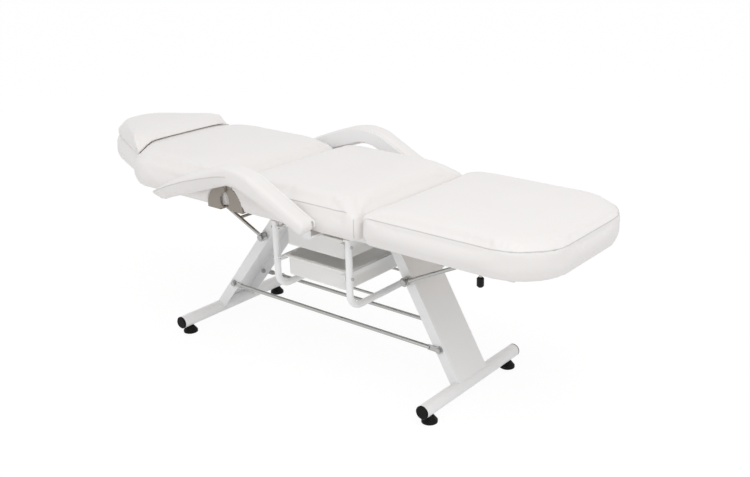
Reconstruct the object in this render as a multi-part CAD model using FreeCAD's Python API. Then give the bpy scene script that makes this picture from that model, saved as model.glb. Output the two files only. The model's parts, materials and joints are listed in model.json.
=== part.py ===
import FreeCAD, Part
import math
import os

# Folding three-section couch: backrest, seat and leg-rest on a splayed two-leg base.
# Millimetres. X runs from the head end (-X) to the foot end (+X), Z is up, the floor is Z = 0.

V = FreeCAD.Vector

# Bed sections
back_length = 738.0
seat_length = 490.0
legrest_length = 532.0
bed_width = 500.0
seam_gap = 10.0
frame_top_z = 474.0
edge_height = 79.0
crown = 21.0
back_crown = 18.0
legrest_crown = 14.0
end_round = 28.0
side_round = 13.0
legrest_round = 7.0
draw_in = 9.0
corner_radius = 22.0
foot_corner_radius = 140.0
board_thickness = 12.0
board_margin = 40.0
soft_clearance = 0.3

# Head end of the backrest, measured from the head end towards the hinge
shoulder_from_head = 380.0
neck_from_head = 280.0
neck_width = 376.0
shoulder_swell = 14.0
nose_from_head = 65.0
nose_width = 184.0

# Head pillow
pillow_front_from_head = 312.0
pillow_width = 390.0
pillow_margin = 12.0
pillow_thickness = 42.0
pillow_sink = 3.0
pillow_lip = 2.0
pillow_slope = 46.0
pillow_side_slope = 16.0
pillow_crown = 6.0

# Frame rails under the cushions
rail = 20.0
rail_wall = 1.6
rail_y = 180.0
rail_setback = 14.0
back_frame_length = 396.0
legrest_frame_length = 412.0

# Legs and floor tubes
floor_tube_d = 38.0
floor_tube_wall = 2.0
floor_tube_length = 446.0
foot_pad_height = 22.0
foot_pad_d = 44.0
foot_rim = 6.0
foot_neck_d = 20.0
foot_stud_d = 10.0
foot_stud_top = 38.0
foot_from_end = 31.0
cap_rim = 6.0
cap_chamfer = 3.0
cap_plug = 14.0
head_leg_reach = 265.0
foot_leg_reach = 182.0
leg_top_inset = 58.0
leg_width = 132.0
leg_depth = 32.0
sheet = 3.0
top_plate = 4.0
top_plate_length = 62.0
mount_bolt_d = 8.0
mount_bolt_spread = 84.0
mount_bolt_short = 4.0

# Tie rods between the legs
tie_rod_d = 12.0
tie_rod_z = 141.0
tie_flat = 5.0
tie_eye_d = 22.0
tie_neck_share = 0.7
tie_clear = 30.4
tie_lap = 6.0
tie_bolt_d = 8.0

# Backrest side hinge
hinge_z = 531.0
hinge_boss_r = 9.0
hinge_arch_r = 66.0
hinge_plate = 5.0
hinge_bolt_d = 8.0
hinge_gap = 1.5
hinge_inset = 0.5
hinge_lens = 15.0
hinge_lens_foot = 3.0
hinge_foot = 4.7
hinge_head_d = 15.0
hinge_head = 1.2
hinge_washer_d = 16.0
recess_spare = 1.0

# Leg-rest hinge
legrest_bolt_d = 10.0
eye_gap = 1.0
eye_plate = 6.0
eye_r = 9.0

# Support stays and their racks
stay_d = 12.0
stay_rod_d = 11.0
stay_cross_d = 9.0
stay_y = 80.0
stay_eye_d = 26.0
stay_eye_width = 14.0
stay_pin_d = 10.0
stay_pin_head = 5.0
stay_pin_tail = 6.0
stay_pin_z_back = 333.0
stay_pin_z_leg = 320.0
stay_bar_drop = 28.0
stay_angle_back = 25.3
stay_angle_leg = 25.9
stay_cross_at = 101.0
rack_y = 45.0
rack_plate = 5.0
rack_tooth_pitch = 34.0
rack_tooth_depth = 4.0
rack_tooth_land = 4.0
rack_seat_room = 1.0
rack_top_gap = 2.0
rack_first_back = 70.0
rack_last_back = 304.0
rack_first_leg = 262.0
rack_last_leg = 404.0

# Release lever under the leg-rest
lever_from_seam = 340.0
lever_shaft_d = 10.0
lever_arm_out = 11.0
lever_arm_d = 8.0
lever_arm_length = 34.0
lever_collar = 6.0
lever_knob_out = 4.0
grip_d = 18.0
grip_length = 26.0
grip_chamfer = 3.6
grip_end = 4.0

# Armrests
arm_gap = 2.0
arm_strap = 5.0
arm_pad_width = 52.7
arm_edge_round = 9.0
arm_front_from_seam = 355.0
arm_length = 600.0
arm_apex_from_front = 263.0
arm_front_z = 501.0
arm_rise = 119.0
arm_rear_drop = 16.0
arm_nose = 36.0
arm_tip = 34.0
arm_depth = 52.0
arm_bend = 70.0
arm_bend_drop = 12.0
arm_bow = 8.0
arm_strap_inset = 8.0
arm_tip_lean = 0.2
arm_pivot_back = 31.0
arm_pivot_drop = 4.0
arm_lug = 5.5
arm_lug_width = 24.0
arm_lug_foot = 6.0
arm_lug_low = 4.0
arm_boss_d = 20.0
arm_pin_d = 8.0
arm_pin_head = 3.0

# Tray rack and trays
post_y = 205.0
outrigger = 6.0
rack_tube_d = 19.0
rack_tube_wall = 1.5
rack_tube_bend = 42.0
rack_tube_z = 262.0
rack_head_from_seam = 154.0
rack_foot_from_seam = 71.0
cross_rod_d = 8.0
cross_rod_y = 92.0
runner_sheet = 2.0
runner_ledge = 14.0
runner_height = 15.0
runner_screw_d = 5.0
upper_rim_z = 449.0
lower_rim_z = 360.0
tray_depth = 57.0
tray_length = 400.0
tray_wall = 3.0
tray_lip = 10.0
tray_side_gap = 4.5
tray_corner = 14.0

# Bolt heads and nuts, as shares of the bolt's diameter
head_across = 1.6
dome_across = 1.8
head_height = 0.7
nut_height = 0.8

# Fits
cut_past = 1.0
run_fit = 0.05
hole_fit = 0.1
rest_fit = 0.3
weld_gap = 0.2

# Places that follow from the sizes above
bed_length = back_length + seat_length + legrest_length
head_x = -bed_length / 2
foot_x = bed_length / 2
hinge_x = head_x + back_length
seam_x = hinge_x + seat_length
half_bed = bed_width / 2
half_gap = seam_gap / 2
edge_z = frame_top_z + edge_height
frame_bottom_z = frame_top_z - rail
rail_mid_z = frame_top_z - rail / 2
rail_out_y = rail_y + rail / 2
rail_in_y = rail_y - rail / 2
tube_z = foot_pad_height + floor_tube_d / 2
foot_spacing = floor_tube_length - 2 * foot_from_end
head_tube_x = hinge_x - head_leg_reach
foot_tube_x = seam_x + foot_leg_reach
leg_half = leg_width / 2
stay_bar_z = frame_top_z - stay_bar_drop
arm_in_y = half_bed + arm_gap
arm_pad_y = arm_in_y + arm_strap + rest_fit
arm_out_y = arm_pad_y + arm_pad_width
arm_front_x = hinge_x + arm_front_from_seam
arm_pivot_x = arm_front_x - arm_pivot_back
arm_pivot_z = arm_front_z - arm_pivot_drop
rack_head_x = hinge_x + rack_head_from_seam
rack_foot_x = seam_x - rack_foot_from_seam
lever_x = seam_x + lever_from_seam


def box(x0, x1, y0, y1, z0, z1):
    """Block between two corners."""
    return Part.makeBox(abs(x1 - x0), abs(y1 - y0), abs(z1 - z0), V(min(x0, x1), min(y0, y1), min(z0, z1)))


def rod_y(x, z, d, y0, y1):
    """Round bar along Y."""
    return Part.makeCylinder(d / 2, abs(y1 - y0), V(x, min(y0, y1), z), V(0, 1, 0))


def rod_x(y, z, d, x0, x1):
    """Round bar along X."""
    return Part.makeCylinder(d / 2, abs(x1 - x0), V(min(x0, x1), y, z), V(1, 0, 0))


def rod_z(x, y, d, z0, z1):
    """Round bar along Z."""
    return Part.makeCylinder(d / 2, abs(z1 - z0), V(x, y, min(z0, z1)), V(0, 0, 1))


def rod_between(start, end, d):
    """Round bar from one point to another."""
    return Part.makeCylinder(d / 2, (end - start).Length, start, end - start)


def hex_prism(centre, axis, across, height):
    """Hexagonal head or nut from a point along an axis."""
    start = V(0, 0, 1) if abs(axis.z) < 0.5 else V(1, 0, 0)
    side = axis.cross(start)
    radius = across / math.sqrt(3)
    corners = []
    for turn in range(7):
        angle = math.radians(60 * turn)
        corners.append(centre + start * (radius * math.cos(angle)) + side * (radius * math.sin(angle)))
    return Part.Face(Part.makePolygon(corners)).extrude(axis * height)


def hex_y(x, z, across, y0, y1):
    """Hexagonal head or nut along Y."""
    return hex_prism(V(x, min(y0, y1), z), V(0, 1, 0), across, abs(y1 - y0))


def fuse(shapes):
    """One clean solid from touching pieces."""
    whole = shapes[0]
    if len(shapes) > 1:
        whole = shapes[0].multiFuse(shapes[1:])
    return whole.removeSplitter()


def mirror_y(shape):
    """The same piece on the other side of the couch."""
    return shape.mirror(V(0, 0, 0), V(0, 1, 0))


def slab_xz(segments, y0, y1):
    """Plate with a side outline of lines and arcs, given as (x, z) points, between two Y planes."""
    edges = []
    for points in segments:
        corners = [V(x, y0, z) for x, z in points]
        edges.append(edge_through(corners))
    return Part.Face(Part.Wire(edges)).extrude(V(0, y1 - y0, 0))


def edge_through(points):
    """Line through two points, or an arc through three."""
    if len(points) == 2:
        return Part.LineSegment(points[0], points[1]).toShape()
    return Part.Arc(points[0], points[1], points[2]).toShape()


def save(name, *solids):
    """Write one node; several solids are a group of like pieces."""
    shape = solids[0] if len(solids) == 1 else Part.makeCompound(list(solids))
    if not shape.isValid():
        print("not valid:", name)
    shape.exportStep("parts/" + name + ".step")


# Cushions, boards and pillow

def rounded_plan(x0, x1, half_width, radius0, radius1):
    """Plan outline of a rounded rectangle, with its own corner radius at each end."""
    def corner(cx, cy, radius, start):
        angles = [math.radians(start + turn) for turn in (0, 45, 90)]
        return [(cx + radius * math.cos(a), cy + radius * math.sin(a)) for a in angles]

    corners = [
        corner(x1 - radius1, half_width - radius1, radius1, 0),
        corner(x0 + radius0, half_width - radius0, radius0, 90),
        corner(x0 + radius0, radius0 - half_width, radius0, 180),
        corner(x1 - radius1, radius1 - half_width, radius1, 270),
    ]
    segments = []
    for index, arc in enumerate(corners):
        segments.append(arc)
        segments.append([arc[2], corners[(index + 1) % 4][0]])
    return segments


def backrest_plan():
    """Plan outline of the backrest: straight sides, sloping shoulders and a round head end."""
    end = hinge_x - half_gap
    shoulder = head_x + shoulder_from_head
    neck = head_x + neck_from_head
    nose = head_x + nose_from_head
    turn = corner_radius * (1 - math.sqrt(0.5))
    slope_mid = ((shoulder + neck) / 2, (half_bed + neck_width / 2) / 2 + shoulder_swell)
    side = [
        [(end, half_bed - corner_radius), (end - turn, half_bed - turn), (end - corner_radius, half_bed)],
        [(end - corner_radius, half_bed), (shoulder, half_bed)],
        [(shoulder, half_bed), slope_mid, (neck, neck_width / 2)],
        [(neck, neck_width / 2), (nose, nose_width / 2)],
    ]
    other = [[(x, -y) for x, y in reversed(points)] for points in reversed(side)]
    tip = [[(nose, nose_width / 2), (head_x, 0), (nose, -nose_width / 2)]]
    return side + tip + other + [[(end, corner_radius - half_bed), (end, half_bed - corner_radius)]]


def pillow_plan():
    """Plan outline of the head pillow: a straight front edge and a round back."""
    front = head_x + pillow_front_from_head
    nose = head_x + nose_from_head + pillow_margin
    half = pillow_width / 2
    nose_half = nose_width / 2 - pillow_margin / 2
    return [
        [(front, -half), (front, half)],
        [(front, half), (nose, nose_half)],
        [(nose, nose_half), (head_x + pillow_margin, 0), (nose, -nose_half)],
        [(nose, -nose_half), (front, -half)],
    ]


def plan_box(segments):
    """Centre and half sizes of a plan outline."""
    xs = [x for points in segments for x, y in points]
    ys = [y for points in segments for x, y in points]
    return (min(xs) + max(xs)) / 2, (max(xs) - min(xs)) / 2, (max(ys) - min(ys)) / 2


def plan_wire(segments, inset_x, inset_y, z):
    """The plan outline drawn in evenly at both ends and both sides, at one height."""
    middle, half_x, half_y = plan_box(segments)
    scale_x = 1 - inset_x / half_x
    scale_y = 1 - inset_y / half_y
    edges = []
    for points in segments:
        moved = [V(middle + (x - middle) * scale_x, y * scale_y, z) for x, y in points]
        edges.append(edge_through(moved))
    return Part.Wire(edges)


def plan_slab(segments, inset, z0, z1):
    """Flat panel with the outline drawn in by one amount."""
    return Part.Face(plan_wire(segments, inset, inset, z0)).extrude(V(0, 0, z1 - z0))


def stacked(segments, levels):
    """Solid through the plan outline at several levels, each given as (inset_x, inset_y, z)."""
    return Part.makeLoft([plan_wire(segments, dx, dy, z) for dx, dy, z in levels], True, True)


def padded(segments, round_x, round_y, swell):
    """Upholstered block: drawn-in foot, upright sides, rounded top edge and a crowned top."""
    _, half_x, half_y = plan_box(segments)
    round_z = max(round_x, round_y)
    levels = [(draw_in, draw_in, frame_top_z), (0, 0, frame_top_z + edge_height * 0.3)]
    for angle in (0, 40, 80):
        part = 1 - math.cos(math.radians(angle))
        rise = 1 - math.sin(math.radians(angle))
        levels.append((round_x * part, round_y * part, edge_z - round_z * rise))
    for share, rise in ((0.16, 0.62), (0.56, 1.0)):
        levels.append((round_x + half_x * share, round_y + half_y * share, edge_z + swell * rise))
    return stacked(segments, levels)


def pillow_block(rest):
    """Wedge pillow with a straight sloping front, hollowed underneath to lie on the given cushion."""
    segments = pillow_plan()
    _, half_x, half_y = plan_box(segments)
    ground = edge_z + back_crown
    top = ground + pillow_thickness
    levels = [
        (0, 0, edge_z - pillow_sink),
        (0, 0, ground + pillow_lip),
        (pillow_slope * 0.9, pillow_side_slope * 0.8, top - pillow_crown * 1.5),
        (pillow_slope + half_x * 0.1, pillow_side_slope + half_y * 0.1, top - pillow_crown * 0.6),
        (pillow_slope + half_x * 0.4, pillow_side_slope + half_y * 0.4, top),
    ]
    return stacked(segments, levels).cut(rest.translated(V(0, 0, rest_fit)))


def board_and_cushion(name, segments, round_x, round_y, swell):
    """A plywood board let into the underside of its cushion; returns the cushion."""
    pocket_top = frame_top_z + board_thickness + soft_clearance
    pocket = plan_slab(segments, board_margin - soft_clearance, frame_top_z - cut_past, pocket_top)
    board = plan_slab(segments, board_margin, frame_top_z, frame_top_z + board_thickness)
    save(name + "_board", board)
    return padded(segments, round_x, round_y, swell).cut(pocket)


def arch_recess(side):
    """Half-round recess in the cushion sides for the hinge plates."""
    radius = hinge_arch_r + hinge_gap
    depth = 2 * hinge_plate + hinge_gap + recess_spare
    return rod_y(hinge_x, frame_top_z, 2 * radius, side * (half_bed - depth), side * (half_bed + depth))


def build_cushions():
    """Three cushions with their boards, and the loose head pillow."""
    seat_plan = rounded_plan(hinge_x + half_gap, seam_x - half_gap, half_bed, corner_radius, corner_radius)
    seat = board_and_cushion("seat", seat_plan, end_round, side_round, crown)
    save("seat_cushion", seat.cut(arch_recess(-1)).cut(arch_recess(1)))
    back = board_and_cushion("backrest", backrest_plan(), end_round, side_round, back_crown)
    save("backrest_cushion", back.cut(arch_recess(-1)).cut(arch_recess(1)))
    leg_plan = rounded_plan(seam_x + half_gap, foot_x, half_bed, corner_radius, foot_corner_radius)
    legrest = board_and_cushion("legrest", leg_plan, legrest_round, legrest_round, legrest_crown)
    save("legrest_cushion", legrest)
    save("head_pillow", pillow_block(back))


# Frames

def rail_x(y, x0, x1, wall=0.0):
    """Square rail along X, or its bore when a wall is given."""
    half = rail / 2 - wall
    return box(x0, x1, y - half, y + half, rail_mid_z - half, rail_mid_z + half)


def rail_cross(x, wall=0.0):
    """Square cross rail between the side rails, or its bore."""
    half = rail / 2 - wall
    return box(x - half, x + half, -rail_y, rail_y, rail_mid_z - half, rail_mid_z + half)


def welded_frame(x0, x1, cross_places):
    """Two side rails and their cross rails as one welded frame of hollow square tube."""
    outer = [rail_x(-rail_y, x0, x1), rail_x(rail_y, x0, x1)]
    bores = [rail_x(side * rail_y, x0 - cut_past, x1 + cut_past, rail_wall) for side in (-1, 1)]
    for x in cross_places:
        outer.append(rail_cross(x))
        bores.append(rail_cross(x, rail_wall))
    return fuse(outer).cut(fuse(bores))


def build_seat_frame():
    """Seat frame: rounded rail ends take the leg-rest bolts, cross rails sit on the legs."""
    places = (hinge_x + leg_top_inset, seam_x - leg_top_inset)
    frame = welded_frame(hinge_x + rail_setback, seam_x + rail / 2, places)
    frame = frame.cut(rail_end_trim())
    for side in (-1, 1):
        bore = legrest_bolt_d + 2 * run_fit
        frame = frame.cut(rod_y(seam_x, rail_mid_z, bore, side * rail_in_y, side * rail_out_y))
    for x, y in leg_bolt_places():
        frame = frame.cut(rod_z(x, y, mount_bolt_d + 2 * hole_fit, frame_bottom_z - cut_past, rail_mid_z))
    save("seat_frame", fuse([frame] + post_outriggers()))


def post_outriggers():
    """Flat lugs that carry the posts of the tray rack outside the side rails."""
    half = rack_tube_d / 2
    lugs = []
    for x in (rack_head_x, rack_foot_x):
        for side in (-1, 1):
            tip = side * (post_y + half)
            top = frame_bottom_z + outrigger
            lugs.append(box(x - half, x + half, side * rail_out_y, tip, frame_bottom_z, top))
    return lugs


def rail_end_trim():
    """What is cut from the front ends of the seat rails to round them about the leg-rest bolt."""
    out = rail_out_y + cut_past
    end = box(seam_x, seam_x + rail, -out, out, frame_bottom_z - cut_past, frame_top_z + cut_past)
    return end.cut(rod_y(seam_x, rail_mid_z, rail, -out, out))


def build_back_frame():
    """Backrest frame with a cross rail at each end of the racks and one at the head."""
    near = hinge_x - rail_setback
    far = near - back_frame_length
    places = (hinge_x - rack_first_back + rail / 2, hinge_x - rack_last_back - rail / 2, far + rail / 2)
    save("backrest_frame", welded_frame(far, near, places))


def build_legrest_frame():
    """Leg-rest frame with an eye plate beside each seat rail, and a bearing hole for the release shaft."""
    near = seam_x + rail_setback
    far = near + legrest_frame_length
    places = (seam_x + rack_first_leg - rail / 2, seam_x + rack_last_leg + rail / 2)
    frame = welded_frame(near, far, places)
    eyes = []
    for side in (-1, 1):
        y0 = side * (rail_in_y - eye_gap)
        y1 = side * (rail_in_y - eye_gap - eye_plate)
        strip = box(seam_x, near + 2 * rail, y0, y1, rail_mid_z - eye_r, rail_mid_z + eye_r)
        bridge = box(near, near + 2 * rail, side * rail_in_y, y1, rail_mid_z - eye_r, rail_mid_z + eye_r)
        eye = fuse([strip, bridge, rod_y(seam_x, rail_mid_z, 2 * eye_r, y0, y1)])
        eyes.append(eye.cut(rod_y(seam_x, rail_mid_z, legrest_bolt_d + 2 * run_fit, y0, y1)))
    frame = fuse([frame] + eyes)
    bore = lever_shaft_d + 2 * run_fit
    bearing = rod_y(lever_x, rail_mid_z, bore, -rail_out_y - cut_past, cut_past - rail_in_y)
    save("legrest_frame", frame.cut(bearing))
    save("legrest_hinge_bolts", legrest_bolt(-1), legrest_bolt(1))


def legrest_bolt(side):
    """Headed bolt through a seat rail and the eye plate beside it."""
    d = legrest_bolt_d
    outer = rail_out_y + hole_fit
    inner = rail_in_y - eye_gap - eye_plate - rest_fit
    tail = inner - nut_height * d - cut_past
    head = hex_y(seam_x, rail_mid_z, head_across * d, side * outer, side * (outer + head_height * d))
    shank = rod_y(seam_x, rail_mid_z, d, side * outer, side * tail)
    nut = hex_y(seam_x, rail_mid_z, head_across * d, side * inner, side * (inner - nut_height * d))
    return fuse([head, shank, nut])


# Side hinge of the backrest

def hinge_plate_shape(toward):
    """Quarter-round plate with a hollowed inner edge, on the seat (+1) or the backrest (-1)."""
    arch = hinge_arch_r
    slant = arch * math.sqrt(0.5)
    top = frame_top_z + arch
    low = hinge_z - hinge_boss_r
    mid = (low + frame_top_z) / 2
    corner = (hinge_lens_foot, frame_top_z)
    outline = [
        [corner, (arch, frame_top_z)],
        [(arch, frame_top_z), (slant, frame_top_z + slant), (0, top)],
        [(0, top), (-hinge_boss_r, hinge_z), (0, low)],
        [(0, low), (hinge_lens, mid), corner],
    ]
    return [[(hinge_x + toward * offset, z) for offset, z in points] for points in outline]


def hinge_seat_y():
    """Inner face of the seat's hinge plate, from the middle of the couch."""
    return half_bed - 2 * hinge_plate - hinge_gap - hinge_inset


def hinge_side_plate(side, toward, y_in):
    """One hinge plate with its foot under the cushion, welded to the side rail."""
    plate = slab_xz(hinge_plate_shape(toward), side * y_in, side * (y_in + hinge_plate))
    foot_in = hinge_x + toward * (rail_setback + eye_gap)
    foot_out = hinge_x + toward * hinge_arch_r
    y_out = side * (y_in + hinge_plate)
    foot = box(foot_in, foot_out, side * rail_out_y, y_out, frame_top_z - hinge_foot, frame_top_z)
    whole = fuse([plate, foot])
    bore = hinge_bolt_d + 2 * run_fit
    y_past = y_in + hinge_plate + cut_past
    return whole.cut(rod_y(hinge_x, hinge_z, bore, side * (y_in - cut_past), side * y_past))


def hinge_bolt(side):
    """Low-headed pivot bolt of the side hinge, with a washer between the plates."""
    inner = hinge_seat_y()
    outer = half_bed - hinge_inset
    washer_in = inner + hinge_plate + weld_gap
    washer_out = inner + hinge_plate + hinge_gap - weld_gap
    head = rod_y(hinge_x, hinge_z, hinge_head_d, side * outer, side * (outer + hinge_head))
    shank = rod_y(hinge_x, hinge_z, hinge_bolt_d, side * inner, side * outer)
    washer = rod_y(hinge_x, hinge_z, hinge_washer_d, side * washer_in, side * washer_out)
    return fuse([head, shank, washer])


def build_side_hinges():
    """Seat plates inside, backrest plates outside, one pivot bolt a side."""
    seat_y = hinge_seat_y()
    back_y = seat_y + hinge_plate + hinge_gap
    for side, label in ((-1, "near"), (1, "far")):
        save(label + "_seat_hinge_plate", hinge_side_plate(side, 1, seat_y))
        save(label + "_backrest_hinge_plate", hinge_side_plate(side, -1, back_y))
        save(label + "_hinge_bolt", hinge_bolt(side))


# Legs, floor tubes, feet and tie rods

def leg_line(end):
    """Bottom and top points of a leg's middle line: at its floor tube and under the seat frame."""
    top_z = frame_bottom_z - top_plate
    if end == "head":
        return V(head_tube_x, 0, tube_z), V(hinge_x + leg_top_inset, 0, top_z)
    return V(foot_tube_x, 0, tube_z), V(seam_x - leg_top_inset, 0, top_z)


def leg_x(end, z):
    """X of a leg's middle line at a height."""
    low, high = leg_line(end)
    return low.x + (high.x - low.x) * (z - low.z) / (high.z - low.z)


def leg_bolt_places():
    """Places of the bolts that hold the leg plates under the cross rails."""
    places = []
    for x in (hinge_x + leg_top_inset, seam_x - leg_top_inset):
        for side in (-1, 1):
            places.append((x, side * mount_bolt_spread / 2))
    return places


def leg_shell(end):
    """Folded sheet channel from floor tube to seat frame, open towards the middle of the couch."""
    low, high = leg_line(end)
    outward = -1 if end == "head" else 1
    along = (high - low).normalize()
    across = V(along.z * outward, 0, -along.x * outward)
    start = low - along * floor_tube_d
    length = (high - low).Length + 2 * floor_tube_d
    corners = [(leg_depth / 2, leg_half), (leg_depth / 2, -leg_half), (-leg_depth / 2, -leg_half)]
    corners += [(-leg_depth / 2, sheet - leg_half), (leg_depth / 2 - sheet, sheet - leg_half)]
    corners += [(leg_depth / 2 - sheet, leg_half - sheet), (-leg_depth / 2, leg_half - sheet)]
    corners += [(-leg_depth / 2, leg_half)]
    points = [start + across * depth + V(0, y, 0) for depth, y in corners]
    profile = Part.makePolygon(points + points[:1])
    return Part.Face(profile).extrude(along * length)


def build_leg(end):
    """Leg channel, coped over its floor tube, with its bolted plate at the top."""
    low, high = leg_line(end)
    channel = leg_shell(end)
    side = leg_half + cut_past
    limit = box(head_x, foot_x, -side, side, tube_z, frame_bottom_z - top_plate)
    saddle = rod_y(low.x, tube_z, floor_tube_d + 2 * weld_gap, -side, side)
    channel = channel.common(limit).cut(saddle)
    half = top_plate_length / 2
    plate = box(high.x - half, high.x + half, -leg_half, leg_half, high.z, frame_bottom_z)
    leg = fuse([channel, plate])
    for x, y in leg_bolt_places():
        leg = leg.cut(rod_z(x, y, mount_bolt_d + 2 * hole_fit, high.z - rail, frame_bottom_z + cut_past))
    pin_x, pin_z = stay_pin(end)
    leg = leg.cut(rod_y(pin_x, pin_z, stay_pin_d + 2 * hole_fit, -side, side))
    tie_x = leg_x(end, tie_rod_z)
    save(end + "_leg", leg.cut(rod_y(tie_x, tie_rod_z, tie_bolt_d + 2 * hole_fit, -side, side)))


def build_leg_bolts():
    """Bolts up through the leg plates into the cross rails."""
    d = mount_bolt_d
    plate_z = frame_bottom_z - top_plate
    bolts = []
    for x, y in leg_bolt_places():
        head = hex_prism(V(x, y, plate_z - head_height * d), V(0, 0, 1), head_across * d, head_height * d)
        bolts.append(fuse([head, rod_z(x, y, d, plate_z, frame_top_z - mount_bolt_short)]))
    save("leg_mount_bolts", *bolts)


def build_floor_tube(end):
    """Cross tube on the floor with a stud hole over each foot."""
    x = head_tube_x if end == "head" else foot_tube_x
    half = floor_tube_length / 2
    tube = rod_y(x, tube_z, floor_tube_d, -half, half)
    tube = tube.cut(rod_y(x, tube_z, floor_tube_d - 2 * floor_tube_wall, -half - cut_past, half + cut_past))
    for side in (-1, 1):
        hole = rod_z(x, side * foot_spacing / 2, foot_stud_d + 2 * run_fit, 0, tube_z)
        tube = tube.cut(hole)
    save(end + "_floor_tube", tube)
    for side, label in ((-1, "near"), (1, "far")):
        save("levelling_foot_%s_%s" % (end, label), levelling_foot(x, side * foot_spacing / 2))


def levelling_foot(x, y):
    """Domed rubber-soled foot turned about its threaded stud."""
    pad = foot_pad_d / 2
    neck = foot_neck_d / 2
    stud = foot_stud_d / 2
    top = foot_pad_height - rest_fit
    outline = [
        V(0, 0, 0), V(pad, 0, 0), V(pad, 0, foot_rim), V(neck, 0, top), V(stud, 0, top),
        V(stud, 0, foot_stud_top), V(0, 0, foot_stud_top),
    ]
    edges = []
    for start, end in zip(outline, outline[1:] + outline[:1]):
        edges.append(Part.LineSegment(start, end).toShape())
    foot = Part.Face(Part.Wire(edges)).revolve(V(0, 0, 0), V(0, 0, 1), 360)
    foot.translate(V(x, y, 0))
    return foot


def build_end_caps():
    """Plastic plugs in the ends of both floor tubes."""
    caps = []
    bore = floor_tube_d - 2 * floor_tube_wall - 2 * hole_fit
    for x in (head_tube_x, foot_tube_x):
        for side in (-1, 1):
            end = side * (floor_tube_length / 2 + weld_gap)
            rim = rod_y(x, tube_z, floor_tube_d, end, end + side * cap_rim)
            outer_edges = [e for e in rim.Edges if abs(e.CenterOfMass.y - end - side * cap_rim) < run_fit]
            rim = rim.makeChamfer(cap_chamfer, outer_edges)
            caps.append(fuse([rim, rod_y(x, tube_z, bore, end, end - side * cap_plug)]))
    save("floor_tube_end_caps", *caps)


def build_tie_rods():
    """Chrome rods beside the legs, flattened at the ends over their bolts."""
    head_at = leg_x("head", tie_rod_z)
    foot_at = leg_x("foot", tie_rod_z)
    bolts = []
    for side, label in ((-1, "near"), (1, "far")):
        inner = side * (leg_half + weld_gap)
        outer = inner + side * tie_flat
        middle = (inner + outer) / 2
        rod = rod_x(middle, tie_rod_z, tie_rod_d, head_at + tie_clear, foot_at - tie_clear)
        flats = []
        for x, toward in ((head_at, 1), (foot_at, -1)):
            half = tie_neck_share * tie_eye_d / 2
            neck_end = x + toward * (tie_clear + tie_lap)
            neck = box(x, neck_end, inner, outer, tie_rod_z - half, tie_rod_z + half)
            eye = fuse([rod_y(x, tie_rod_z, tie_eye_d, inner, outer), neck])
            flats.append(eye.cut(rod_y(x, tie_rod_z, tie_bolt_d + 2 * hole_fit, inner, outer)))
            bolts.append(flange_bolt(x, tie_rod_z, tie_bolt_d, side, tie_flat + weld_gap))
        save(label + "_tie_rod", fuse([rod] + flats))
    save("tie_rod_bolts", *bolts)


def flange_bolt(x, z, d, side, stack):
    """Bolt through a leg flange: dome head outside the stacked piece, nut inside the channel."""
    outer = leg_half + stack + hole_fit
    inner = leg_half - sheet - hole_fit
    head = rod_y(x, z, dome_across * d, side * outer, side * (outer + head_height * d))
    shank = rod_y(x, z, d, side * outer, side * (inner - nut_height * d - cut_past))
    nut = hex_y(x, z, head_across * d, side * inner, side * (inner - nut_height * d))
    return fuse([head, shank, nut])


# Support stays and racks

def stay_pin(end):
    """Pivot of a stay on its leg flange (x, z)."""
    z = stay_pin_z_back if end == "head" else stay_pin_z_leg
    return leg_x(end, z), z


def stay_tip(end):
    """Place of the stay's top bar at rest (x, z)."""
    x, z = stay_pin(end)
    angle = stay_angle_back if end == "head" else stay_angle_leg
    reach = (stay_bar_z - z) / math.tan(math.radians(angle))
    return (x - reach if end == "head" else x + reach), stay_bar_z


def build_stay(end, name, cross_at):
    """Two rods with eyes at the leg, joined by the bar that rests in the racks."""
    x, z = stay_pin(end)
    tip_x, tip_z = stay_tip(end)
    half_eye = stay_eye_width / 2
    bar_end = stay_y + half_eye + cut_past
    pieces = [rod_y(tip_x, tip_z, stay_d, -bar_end, bar_end)]
    for side in (-1, 1):
        y = side * stay_y
        pieces.append(rod_between(V(x, y, z), V(tip_x, y, tip_z), stay_rod_d))
        pieces.append(rod_y(x, z, stay_eye_d, y - half_eye, y + half_eye))
    if cross_at:
        share = cross_at / math.hypot(tip_x - x, tip_z - z)
        cross_x = x + (tip_x - x) * share
        cross_z = z + (tip_z - z) * share
        pieces.append(rod_y(cross_x, cross_z, stay_cross_d, -stay_y, stay_y))
    stay = fuse(pieces)
    stay = stay.cut(rod_y(x, z, stay_pin_d + 2 * run_fit, -stay_y - stay_d, stay_y + stay_d))
    save(name, stay)


def build_stay_pins(end, name):
    """Shouldered pivot pins riveted through the leg flanges."""
    x, z = stay_pin(end)
    d = stay_pin_d
    half_eye = stay_eye_width / 2 + rest_fit
    out = stay_y + half_eye
    inside = leg_half - sheet - hole_fit
    tail = inside - stay_pin_tail
    pins = []
    for side in (-1, 1):
        pieces = [
            rod_y(x, z, d, side * tail, side * out),
            rod_y(x, z, dome_across * d, side * out, side * (out + stay_pin_head)),
            rod_y(x, z, head_across * d, side * (leg_half + hole_fit), side * (stay_y - half_eye)),
            hex_y(x, z, head_across * d, side * inside, side * tail),
        ]
        pins.append(fuse(pieces))
    save(name, *pins)


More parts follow.
